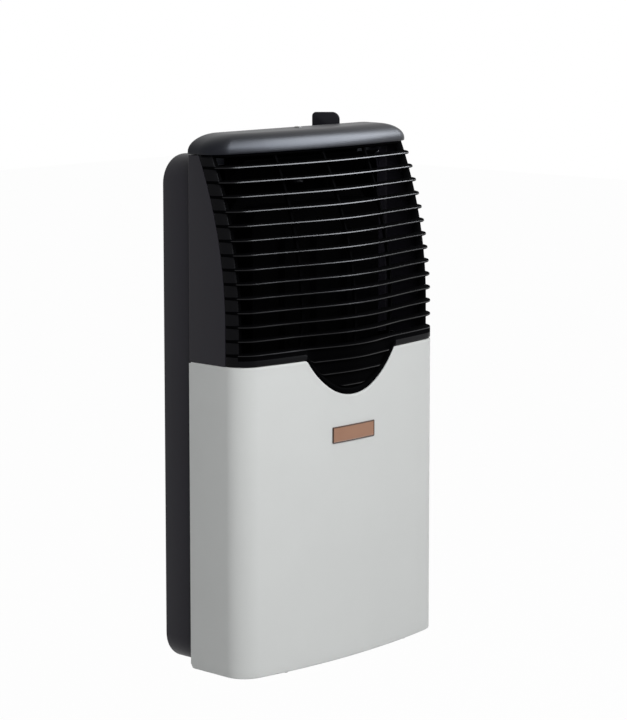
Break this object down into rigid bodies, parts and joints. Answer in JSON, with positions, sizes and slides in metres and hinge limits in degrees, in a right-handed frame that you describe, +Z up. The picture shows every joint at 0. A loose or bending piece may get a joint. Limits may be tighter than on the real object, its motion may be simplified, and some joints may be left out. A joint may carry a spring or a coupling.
{
  "type": "gas heater",
  "caption": "Slim wall-hung gas heater with a balanced flue, a louvred grille with a scooped tongue over a bowed cover, a rounded cap and a control knob at its top.",
  "frame": {"origin": "on the flat back face of the rear casing, in the plane of the wall, midway across and 290 mm above the heater's bottom edge", "axes": "+X to the right seen from the room, +Y into the wall, +Z up"},
  "size_m": [0.33, 0.1779, 0.6156],
  "materials": {
    "cover_enamel": "semi-gloss enamel",
    "grille_black": "satin moulding",
    "charcoal_paint": "satin powder coat",
    "cap_paint": "satin",
    "plate_copper": "satin copper",
    "zinc_steel": "zinc plated",
    "chamber_enamel": "heat-proof matt",
    "sealing_fibre": "ceramic fibre",
    "mica": "mica pane",
    "aluminised_steel": "aluminised sheet",
    "cast_aluminium": "die-cast",
    "brass": "machined",
    "copper_tube": "drawn copper",
    "ceramic": "glazed ceramic",
    "control_black": "satin",
    "lead_silicone": "silicone sleeve"
  },
  "bodies": {
    "heater": {"front_cover": "cover_enamel", "grille": "grille_black", "side_panel_left": "charcoal_paint", "side_panel_right": "charcoal_paint", "top_cap": "cap_paint", "cap_screw": "zinc_steel", "nameplate": "plate_copper", "rear_casing": "charcoal_paint", "chamber_back": "chamber_enamel", "chamber_front": "chamber_enamel", "chamber_gasket": "sealing_fibre", "chamber_screw_1": "zinc_steel", "chamber_screw_2": "zinc_steel", "chamber_screw_3": "zinc_steel", "chamber_screw_4": "zinc_steel", "chamber_screw_5": "zinc_steel", "chamber_screw_6": "zinc_steel", "chamber_mount_lower_left": "zinc_steel", "chamber_mount_upper_left": "zinc_steel", "chamber_mount_lower_right": "zinc_steel", "chamber_mount_upper_right": "zinc_steel", "sight_window": "mica", "sight_window_frame": "zinc_steel", "exhaust_duct": "aluminised_steel", "air_duct": "aluminised_steel", "air_box": "aluminised_steel", "burner_tube": "aluminised_steel", "burner_bracket_left": "zinc_steel", "burner_bracket_right": "zinc_steel", "injector": "brass", "pilot_plate": "zinc_steel", "pilot_burner": "brass", "thermocouple": "zinc_steel", "spark_electrode": "ceramic", "gas_valve": "cast_aluminium", "valve_bracket": "zinc_steel", "gas_inlet": "brass", "rod_bush": "brass", "piezo_igniter": "control_black", "igniter_nut": "zinc_steel", "heat_deflector": "aluminised_steel", "cover_bracket_left": "zinc_steel", "cover_bracket_right": "zinc_steel", "cover_screw_left": "zinc_steel", "cover_screw_right": "zinc_steel", "burner_feed_pipe": "cast_aluminium", "pilot_tube": "copper_tube", "thermocouple_lead": "copper_tube", "ignition_lead": "lead_silicone"},
    "plunger": {"valve_plunger": "brass"},
    "knob": {"control_rod": "zinc_steel", "control_knob": "control_black"},
    "button": {"igniter_button": "control_black"}
  },
  "joints": [
    {"name": "knob_press", "type": "slide", "parent": "heater", "child": "plunger", "axis": [0, 0, -1], "range_m": [0, 0.004], "stiffness_N_per_m": 600, "springref_m": -0.008},
    {"name": "knob_turn", "type": "hinge", "parent": "plunger", "child": "knob", "pos_m": [0.085, -0.0232, 0.3], "axis": [0, 0, 1], "range_deg": [0, 180]},
    {"name": "igniter_press", "type": "slide", "parent": "heater", "child": "button", "axis": [0, 0, -1], "range_m": [0, 0.006], "stiffness_N_per_m": 600, "springref_m": -0.006}
  ]
}
